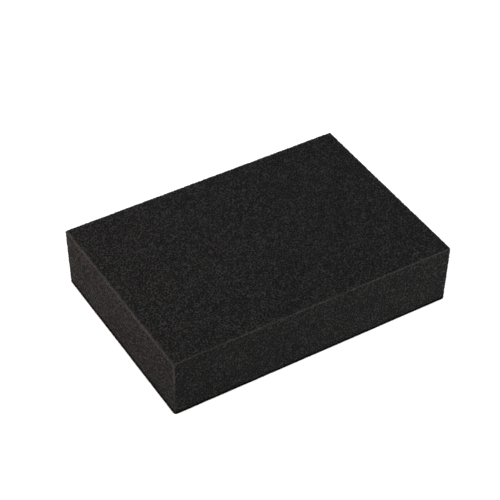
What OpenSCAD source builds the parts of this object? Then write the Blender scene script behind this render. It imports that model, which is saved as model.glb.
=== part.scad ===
// Foam chalkboard eraser: one block of fine open-cell foam, cut square from a slab.
// Millimetres, +Z up. The origin is the centre of the face that the block lies on,
// +X runs along the length and +Y across the width.

/* [Block] */
// Length of the block, along X
block_length = 140; // [100:1:180]
// Width of the block, along Y, as a hand grips it
block_width = 96; // [60:1:130]
// Thickness of the slab that the block is cut from, along Z
slab_thickness = 30; // [15:1:50]

/* [Hidden] */

foam_colour = [0.14, 0.135, 0.13];

// Plan outline of one block, centred on the origin.
module block_outline() {
    square([block_length, block_width], center = true);
}

// The slab's two skins are the wiping faces, and the four sides are plain saw cuts.
module foam_block() {
    color(foam_colour)
        linear_extrude(height = slab_thickness)
            block_outline();
}

foam_block();
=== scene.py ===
# Chalkboard eraser: one block of charcoal foam, cut square, lying on a pale floor
import math

import bpy
import numpy as np
from mathutils import Matrix, Vector


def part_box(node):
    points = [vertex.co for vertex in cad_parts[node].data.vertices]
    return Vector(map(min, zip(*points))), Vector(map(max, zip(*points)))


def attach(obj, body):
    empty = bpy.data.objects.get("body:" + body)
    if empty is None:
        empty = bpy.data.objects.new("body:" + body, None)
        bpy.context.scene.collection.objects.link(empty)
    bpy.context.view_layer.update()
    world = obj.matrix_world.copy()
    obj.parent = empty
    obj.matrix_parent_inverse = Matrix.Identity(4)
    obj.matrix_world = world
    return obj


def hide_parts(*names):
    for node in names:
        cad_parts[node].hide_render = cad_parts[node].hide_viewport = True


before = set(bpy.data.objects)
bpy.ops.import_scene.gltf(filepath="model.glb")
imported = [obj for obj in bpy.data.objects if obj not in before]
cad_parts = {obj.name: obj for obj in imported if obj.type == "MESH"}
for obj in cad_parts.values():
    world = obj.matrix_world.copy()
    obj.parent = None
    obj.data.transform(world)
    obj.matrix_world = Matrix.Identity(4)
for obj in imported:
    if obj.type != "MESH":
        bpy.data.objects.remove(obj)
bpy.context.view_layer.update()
blockLow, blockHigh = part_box("foam_block")
blockSize = blockHigh - blockLow
blockCentre = (blockLow + blockHigh) / 2
print("frame loaded, foam block", [round(side * 1000, 1) for side in blockSize], "mm")

mm = 0.001
noiseSpan = {"From Min": 0.3, "From Max": 0.7}      # nearly all of a noise pattern lies between these


def linearColour(hexColour):
    # sRGB hex such as "#2f2e2d" to the linear RGBA that sockets want
    channels = [int(hexColour[i:i + 2], 16) / 255 for i in (1, 3, 5)]
    linear = [c / 12.92 if c <= 0.04045 else ((c + 0.055) / 1.055) ** 2.4 for c in channels]
    return (*linear, 1.0)


def addNode(tree, kind, settings=None, values=None, links=None):
    # settings are the node's own options, values go into its sockets, links join sockets to earlier nodes
    node = tree.nodes.new(kind)
    for option, value in (settings or {}).items():
        setattr(node, option, value)
    for socket, value in (values or {}).items():
        node.inputs[socket].default_value = value
    for socket, (source, output) in (links or {}).items():
        tree.links.new(source.outputs[output], node.inputs[socket])
    return node


def newMaterial(name):
    material = bpy.data.materials.new(name)
    material.use_nodes = True
    material.node_tree.nodes.clear()
    return material, material.node_tree


def towards(azimuth, elevation):
    # direction out from the block, in degrees, where azimuth 0 is its front
    azimuth = math.radians(azimuth)
    elevation = math.radians(elevation)
    return Vector((math.sin(azimuth) * math.cos(elevation),
                   -math.cos(azimuth) * math.cos(elevation),
                   math.sin(elevation)))


camera = {
    "azimuth": -32.5,
    "elevation": 41.9,
    "roll": 1.4,
    "distance": 747.2 * mm,       # from the aim point
    "aim": (-0.6 * mm, 5.4 * mm, 4.8 * mm),   # from the block's centre
    "lens": 120.3,                # mm, on a 36 mm sensor
    "clip": (0.01, 50),           # metres
}


def makeCamera(values):
    back = towards(values["azimuth"], values["elevation"])
    data = bpy.data.cameras.new("camera")
    data.lens = values["lens"]
    data.clip_start, data.clip_end = values["clip"]
    viewer = bpy.data.objects.new("camera", data)
    bpy.context.scene.collection.objects.link(viewer)
    turn = (-back).to_track_quat("-Z", "Y").to_matrix()
    roll = Matrix.Rotation(math.radians(values["roll"]), 3, "Z")
    viewer.location = blockCentre + Vector(values["aim"]) + back * values["distance"]
    viewer.rotation_euler = (turn @ roll).to_euler()
    bpy.context.scene.camera = viewer


makeCamera(camera)
print("camera placed")


foamBlock = {
    "edgeEase": 0.30 * mm,        # how far a cut edge of foam crumbles back
    "baseEase": 0.45 * mm,        # the edges that the block lies on are rounder
    "easeSteps": 3,
    "footTuck": 0.2 * mm,         # how far the foot draws in all round
    "endLean": (0.15 * mm, -0.6 * mm),   # the left-hand end isn't cut quite square: its foot in, its top out
    "mapAngle": 1.15,             # radians, a sharper turn than this starts a new island of the flat map
    "mapMargin": 0.008,           # gap between islands, as a share of the map
    "gridStep": 2.0 * mm,         # coarse grid, halved by each of the fineLevels
    "fineLevels": 3,
    "cutWave": 0.10 * mm,         # slow waviness that the saw leaves
    "cutWaveLength": 30 * mm,
    "cellSize": 1.1 * mm,         # coarser than real: about two cells, which are too fine to show singly
    "cellDepth": 0.40 * mm,
    "fineCellSize": 0.5 * mm,
    "fineCellDepth": 0.12 * mm,
    "strutShare": 0.5,            # 0 leaves whole walls between the cells, 1 only the struts where walls meet
    "wallShare": 0.3,             # share of a cell's depth by which its walls stand proud of the cut
    "edgeFade": 0.4 * mm,         # width of the frayed line along each edge, painted lighter as a highlight
    "uprightFrayHighlight": 1.7,           # how many times stronger that painted highlight is on the four upright edges
    "footShadeRise": (1.8 * mm, 1.2 * mm),    # height of the painted contact shadow, a dark line along the foot: at the ends, at the sides
}


def editPoints(piece, wanted):
    # opens edit mode with only those points selected for which wanted(place) is true
    deselectMesh(piece)
    for vertex in piece.data.vertices:
        vertex.select = wanted(vertex.co)
    bpy.ops.object.mode_set(mode="EDIT")
    bpy.ops.mesh.select_mode(type="VERT")


def deselectMesh(piece):
    bpy.ops.object.mode_set(mode="EDIT")
    bpy.ops.mesh.select_mode(type="EDGE")
    bpy.ops.mesh.select_all(action="DESELECT")
    bpy.ops.object.mode_set(mode="OBJECT")


def selectEdgesAlong(piece, axis, shortest):
    # picks every long edge that runs along one axis, or nearly so
    leastShare = 0.9
    mesh = piece.data
    for edge in mesh.edges:
        start, end = (mesh.vertices[i].co for i in edge.vertices)
        run = abs((end - start)[axis])
        edge.select = run > shortest and run > leastShare * (end - start).length


def cutIntoGrid(piece, step):
    for axis in range(3):
        deselectMesh(piece)
        selectEdgesAlong(piece, axis, step)
        cuts = round(blockSize[axis] / step) - 1
        bpy.ops.object.mode_set(mode="EDIT")
        bpy.ops.mesh.select_mode(type="EDGE")
        bpy.ops.mesh.subdivide_edgering(number_cuts=cuts, interpolation="LINEAR")
        bpy.ops.object.mode_set(mode="OBJECT")


def applyModifier(piece, kind, settings):
    modifier = piece.modifiers.new(kind.lower(), kind)
    for option, value in settings.items():
        setattr(modifier, option, value)
    bpy.ops.object.modifier_apply(modifier=modifier.name)


def points(piece):
    flat = np.empty(len(piece.data.vertices) * 3, np.float32)
    piece.data.vertices.foreach_get("co", flat)
    return flat.reshape(-1, 3)


def pointNormals(piece):
    flat = np.empty(len(piece.data.vertices) * 3, np.float32)
    piece.data.vertex_normals.foreach_get("vector", flat)
    return flat.reshape(-1, 3)


def storeOnPoints(piece, name, numbers):
    layer = piece.data.attributes.new(name, "FLOAT", "POINT")
    layer.data.foreach_set("value", numbers.astype(np.float32))


def cellTexture(name, size, strutShare):
    # 0 on a strut or wall between the cells, and rising towards the middle of a cell
    texture = bpy.data.textures.new(name, "VORONOI")
    texture.noise_scale = size
    texture.weight_1 = -1
    texture.weight_2 = 1 - strutShare
    texture.weight_3 = strutShare
    texture.noise_intensity = 2
    return texture


def shapeBox(piece, values):
    # tuck the foot in
    editPoints(piece, lambda place: place.z < blockCentre.z)
    bpy.ops.transform.resize(
        value=(1 - 2 * values["footTuck"] / blockSize.x, 1 - 2 * values["footTuck"] / blockSize.y, 1),
        center_override=(blockCentre.x, blockCentre.y, blockLow.z),
    )
    bpy.ops.object.mode_set(mode="OBJECT")

    # lean the left-hand end, foot first
    for atTop, shift in zip((False, True), values["endLean"]):
        editPoints(piece, lambda place: place.x < blockCentre.x and (place.z > blockCentre.z) == atTop)
        bpy.ops.transform.translate(value=(shift, 0, 0))
        bpy.ops.object.mode_set(mode="OBJECT")

    # ease all twelve edges, the four at the base by more
    ease = piece.data.attributes.new("bevel_weight_edge", "FLOAT", "EDGE")
    for edge in piece.data.edges:
        atBase = all(piece.data.vertices[i].co.z < blockCentre.z for i in edge.vertices)
        ease.data[edge.index].value = 1.0 if atBase else values["edgeEase"] / values["baseEase"]
    applyModifier(piece, "BEVEL", {
        "limit_method": "WEIGHT",
        "width": values["baseEase"],
        "segments": values["easeSteps"],
    })


def markEdgeHighlightAndFootShade(piece, values):
    # distance of each point from the nearest edge of the block, and whether that edge is an upright one; from
    # these, the frayed line along the edges, painted lighter as a highlight, and the painted contact shadow
    # along the foot
    here = points(piece)
    inward = np.minimum(here - np.array(blockLow), np.array(blockHigh) - here)
    fromEdge = np.clip(np.sort(inward, axis=1)[:, 1], 0, None)
    upright = inward[:, 2] > fromEdge
    # painted highlight: the frayed line along the edges is lightened, most on the upright edges
    frayHighlight = np.exp(-(fromEdge / values["edgeFade"]) ** 2) * np.where(upright, values["uprightFrayHighlight"], 1)
    storeOnPoints(piece, "edgeFrayHighlight", frayHighlight)

    # painted contact shadow: the foot darkens to near black over its lowest millimetre or two
    endRise, sideRise = values["footShadeRise"]
    rise = np.where(inward[:, 0] < inward[:, 1], endRise, sideRise)
    storeOnPoints(piece, "footContactShade", np.exp(-((here[:, 2] - blockLow.z) / rise) ** 3))


def pressCells(piece, values):
    level = points(piece)
    outward = pointNormals(piece)
    layers = (("cells", values["cellSize"], values["cellDepth"]),
              ("fineCells", values["fineCellSize"], values["fineCellDepth"]))
    for name, size, depth in layers:
        applyModifier(piece, "DISPLACE", {
            "texture": cellTexture(name, size, values["strutShare"]),
            "texture_coords": "LOCAL",
            "mid_level": values["wallShare"],
            "strength": -depth,
        })
    sunk = ((level - points(piece)) * outward).sum(axis=1) / (values["cellDepth"] + values["fineCellDepth"])
    cellDepth = sunk + values["wallShare"]
    storeOnPoints(piece, "cellDepth", cellDepth)
    print("cell depth, shallowest tenth, middle and deepest:", np.percentile(cellDepth, [10, 50, 90]).round(2))


def makeFoamBlock(values):
    bpy.ops.object.select_all(action="DESELECT")
    bpy.ops.mesh.primitive_cube_add(size=1, location=blockCentre, scale=blockSize)
    piece = bpy.context.object
    piece.name = "foamBlock"
    piece.data.name = "foamBlock"
    bpy.ops.object.transform_apply(location=True, rotation=True, scale=True)

    # one flat map, cut along the block's edges, made while the block still has six faces
    bpy.ops.object.mode_set(mode="EDIT")
    bpy.ops.mesh.select_all(action="SELECT")
    bpy.ops.uv.smart_project(angle_limit=values["mapAngle"], island_margin=values["mapMargin"])
    bpy.ops.object.mode_set(mode="OBJECT")
    piece.data.uv_layers[0].name = "OFBake"

    shapeBox(piece, values)
    cutIntoGrid(piece, values["gridStep"])
    applyModifier(piece, "SUBSURF", {
        "subdivision_type": "SIMPLE",
        "levels": values["fineLevels"],
        "render_levels": values["fineLevels"],
    })
    print("foam block cut into", len(piece.data.polygons), "faces")
    markEdgeHighlightAndFootShade(piece, values)

    wave = bpy.data.textures.new("cutWave", "CLOUDS")
    wave.noise_scale = values["cutWaveLength"]
    wave.noise_depth = 1
    applyModifier(piece, "DISPLACE", {
        "texture": wave,
        "texture_coords": "LOCAL",
        "mid_level": 0.5,
        "strength": values["cutWave"],
    })
    pressCells(piece, values)

    # what would reach below the base is pressed flat on it
    pressed = points(piece)
    pressed[:, 2] = np.maximum(pressed[:, 2], blockLow.z)
    piece.data.vertices.foreach_set("co", pressed.ravel())
    piece.data.update()
    bpy.ops.object.shade_smooth()
    return piece


foamLook = {
    # the walls keep the dye's colour; the pores are darkened as painted shade in the hollows
    "wallColour": "#393c3c",
    "poreShadeColour": "#181b1b",
    # the frayed edge line, lightened as a painted highlight
    "frayHighlightColour": "#4b4d4c",
    # near black of the painted contact shadow along the foot
    "footShadeColour": "#060606",
    "frayHighlightShare": 0.42,            # how strongly the frayed line along the edges shows, with its painted highlight
    "wallTop": 0.02,              # cell depths at which the wall's colour ends and the painted pore shade is full
    "poreFloor": 0.30,
    "finePoreSize": 0.5 * mm,     # single cells, which only show from close by; they only deepen the painted pore shade
    "finePoreDepth": 0.2,         # how much of a cell's depth they add
    "mottleSize": 14 * mm,        # slow unevenness of the dye
    "mottle": 0.06,
    "grainSize": 0.3 * mm,        # torn skin of the struts
    "grainHeight": 0.03 * mm,
    "roughness": (0.72, 0.90),
}


def makeFoamMaterial(values):
    # Polyurethane foam, open cells, sawn from a slab and dyed through: matte, with the pores between slightly
    # lighter struts darkened as painted shade, a paler frayed line along the edges that is partly a painted
    # highlight, and a painted contact shadow along the foot
    material, tree = newMaterial("open cell polyurethane foam")
    depth = addNode(tree, "ShaderNodeAttribute", {"attribute_name": "cellDepth"})
    frayHighlight = addNode(tree, "ShaderNodeAttribute", {"attribute_name": "edgeFrayHighlight"})
    footShade = addNode(tree, "ShaderNodeAttribute", {"attribute_name": "footContactShade"})
    place = addNode(tree, "ShaderNodeTexCoord")
    mottle = addNode(tree, "ShaderNodeTexNoise", None,
                     {"Scale": 1 / values["mottleSize"], "Detail": 2}, {"Vector": (place, "Object")})
    grain = addNode(tree, "ShaderNodeTexNoise", None,
                    {"Scale": 1 / values["grainSize"], "Detail": 1}, {"Vector": (place, "Object")})
    fine = addNode(tree, "ShaderNodeTexVoronoi", None,
                   {"Scale": 1 / values["finePoreSize"]}, {"Vector": (place, "Object")})

    # on average the fine pores take off half their own depth, so both limits move down by that
    sunk = addNode(tree, "ShaderNodeMath", {"operation": "MULTIPLY_ADD"},
                   {1: -values["finePoreDepth"]}, {0: (fine, "Distance"), 2: (depth, "Fac")})
    middle = 0.5 * values["finePoreDepth"]
    share = addNode(tree, "ShaderNodeMapRange", {"interpolation_type": "SMOOTHSTEP"},
                    {"From Min": values["wallTop"] - middle, "From Max": values["poreFloor"] - middle},
                    {"Value": (sunk, "Value")})
    # painted shade: the deeper a point lies in its cell, the darker its colour
    cells = addNode(tree, "ShaderNodeMix", {"data_type": "RGBA"},
                    {6: linearColour(values["wallColour"]), 7: linearColour(values["poreShadeColour"])},
                    {0: (share, "Result")})
    frayHighlightShare = addNode(tree, "ShaderNodeMath", {"operation": "MULTIPLY"},
                        {1: values["frayHighlightShare"]}, {0: (frayHighlight, "Fac")})
    # painted highlight along the frayed edges
    edged = addNode(tree, "ShaderNodeMix", {"data_type": "RGBA"},
                    {7: linearColour(values["frayHighlightColour"])}, {0: (frayHighlightShare, "Value"), 6: (cells, 2)})
    # painted contact shadow along the foot
    footShaded = addNode(tree, "ShaderNodeMix", {"data_type": "RGBA"},
                     {7: linearColour(values["footShadeColour"])}, {0: (footShade, "Fac"), 6: (edged, 2)})
    tone = addNode(tree, "ShaderNodeMapRange", None,
                   {**noiseSpan, "To Min": 1 - values["mottle"], "To Max": 1 + values["mottle"]},
                   {"Value": (mottle, "Fac")})
    colour = addNode(tree, "ShaderNodeHueSaturation", None, None,
                     {"Color": (footShaded, 2), "Value": (tone, "Result")})

    lowRoughness, highRoughness = values["roughness"]
    roughness = addNode(tree, "ShaderNodeMapRange", None,
                        {**noiseSpan, "To Min": lowRoughness, "To Max": highRoughness},
                        {"Value": (grain, "Fac")})
    bump = addNode(tree, "ShaderNodeBump", None,
                   {"Strength": 1.0, "Distance": values["grainHeight"]}, {"Height": (grain, "Fac")})
    shader = addNode(tree, "ShaderNodeBsdfPrincipled", None, {"Specular IOR Level": 0.01},
                     {"Base Color": (colour, "Color"), "Roughness": (roughness, "Result"),
                      "Normal": (bump, "Normal")})
    addNode(tree, "ShaderNodeOutputMaterial", None, None, {"Surface": (shader, "BSDF")})
    return material


block = makeFoamBlock(foamBlock)
block.data.materials.clear()
block.data.materials.append(makeFoamMaterial(foamLook))
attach(block, "root")
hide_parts("foam_block")
print("foam block finished")


studio = {
    "floorSide": 6.0,
    "floorColour": "#8c8c8c",     # what the floor sends back to the block
    "glow": 0.93,                 # what lifts it to white for the viewer
    "contactReach": 1.5 * mm,     # how far out the floor looks for the block above it
    "contactSamples": 16,
    "contactDark": 0.59,          # below this open share of the view up, the paper is painted black as contact shadow
    "contactClear": 0.67,         # above this one, the paper is clear of it
    "worldStrength": 0.145,
    "worldColour": "#d4e6f4",
}


def whiteForViewer(tree):
    # 1 where the camera, a mirror or clear glass looks, 0 where the light only bounces
    path = addNode(tree, "ShaderNodeLightPath")
    seen = addNode(tree, "ShaderNodeMath", {"operation": "MAXIMUM"}, None,
                   {0: (path, "Is Camera Ray"), 1: (path, "Is Glossy Ray")})
    return addNode(tree, "ShaderNodeMath", {"operation": "MAXIMUM"}, None,
                   {0: (seen, "Value"), 1: (path, "Is Transmission Ray")})


def makeFloor(values):
    bpy.ops.object.select_all(action="DESELECT")
    bpy.ops.mesh.primitive_plane_add(size=values["floorSide"], location=(0, 0, blockLow.z))
    floor = bpy.context.object
    floor.name = "floor"
    material, tree = newMaterial("matt white paper")
    seen = whiteForViewer(tree)
    # painted contact shadow: the paper's colour and glow fall to black where the block closes off the view up
    near = addNode(tree, "ShaderNodeAmbientOcclusion", {"samples": values["contactSamples"]},
                   {"Distance": values["contactReach"]})
    clear = addNode(tree, "ShaderNodeMapRange", {"interpolation_type": "SMOOTHSTEP"},
                    {"From Min": values["contactDark"], "From Max": values["contactClear"]},
                    {"Value": (near, "AO")})
    colour = addNode(tree, "ShaderNodeMix", {"data_type": "RGBA"},
                     {6: (0, 0, 0, 1), 7: linearColour(values["floorColour"])}, {0: (clear, "Result")})
    paper = addNode(tree, "ShaderNodeBsdfDiffuse", None, None, {"Color": (colour, 2)})
    lift = addNode(tree, "ShaderNodeMath", {"operation": "MULTIPLY"},
                   {1: values["glow"]}, {0: (clear, "Result")})
    glow = addNode(tree, "ShaderNodeMath", {"operation": "MULTIPLY"}, None,
                   {0: (lift, "Value"), 1: (seen, "Value")})
    light = addNode(tree, "ShaderNodeEmission", None, {"Color": (1, 1, 1, 1)}, {"Strength": (glow, "Value")})
    both = addNode(tree, "ShaderNodeAddShader", None, None, {0: (paper, "BSDF"), 1: (light, "Emission")})
    addNode(tree, "ShaderNodeOutputMaterial", None, None, {"Surface": (both, "Shader")})
    floor.data.materials.append(material)


def makeWorld(values):
    world = bpy.data.worlds.new("studio")
    world.use_nodes = True
    bpy.context.scene.world = world
    tree = world.node_tree
    tree.nodes.clear()
    seen = whiteForViewer(tree)
    strength = addNode(tree, "ShaderNodeMapRange", None,
                       {"To Min": values["worldStrength"], "To Max": 1.0}, {"Value": (seen, "Value")})
    tint = addNode(tree, "ShaderNodeMix", {"data_type": "RGBA"},
                   {6: linearColour(values["worldColour"]), 7: (1, 1, 1, 1)}, {0: (seen, "Value")})
    backdrop = addNode(tree, "ShaderNodeBackground", None, None,
                       {"Color": (tint, 2), "Strength": (strength, "Result")})
    addNode(tree, "ShaderNodeOutputWorld", None, None, {"Surface": (backdrop, "Background")})


softboxes = {
    # name: azimuth and elevation in degrees, distance and side in metres, power in watts, colour
    "leftSoftbox": (240, 20, 0.55, 0.30, 5.0, "#ffe0d8"),
    "backSoftbox": (150, 30, 0.60, 0.30, 0.6, "#d0e2ff"),
    "frontSoftbox": (35, 18, 0.80, 0.45, 7.8, "#ffeeea"),
}


def makeSoftbox(name, azimuth, elevation, distance, side, power, colour):
    out = towards(azimuth, elevation)
    data = bpy.data.lights.new(name, "AREA")
    data.shape = "SQUARE"
    data.size = side
    data.energy = power
    data.color = linearColour(colour)[:3]
    lamp = bpy.data.objects.new(name, data)
    bpy.context.scene.collection.objects.link(lamp)
    lamp.location = blockCentre + out * distance
    lamp.rotation_euler = out.to_track_quat("Z", "Y").to_euler()


makeFloor(studio)
makeWorld(studio)
for name, settings in softboxes.items():
    makeSoftbox(name, *settings)
bpy.context.scene.view_settings.view_transform = "Standard"
print("floor, backdrop and lights placed")
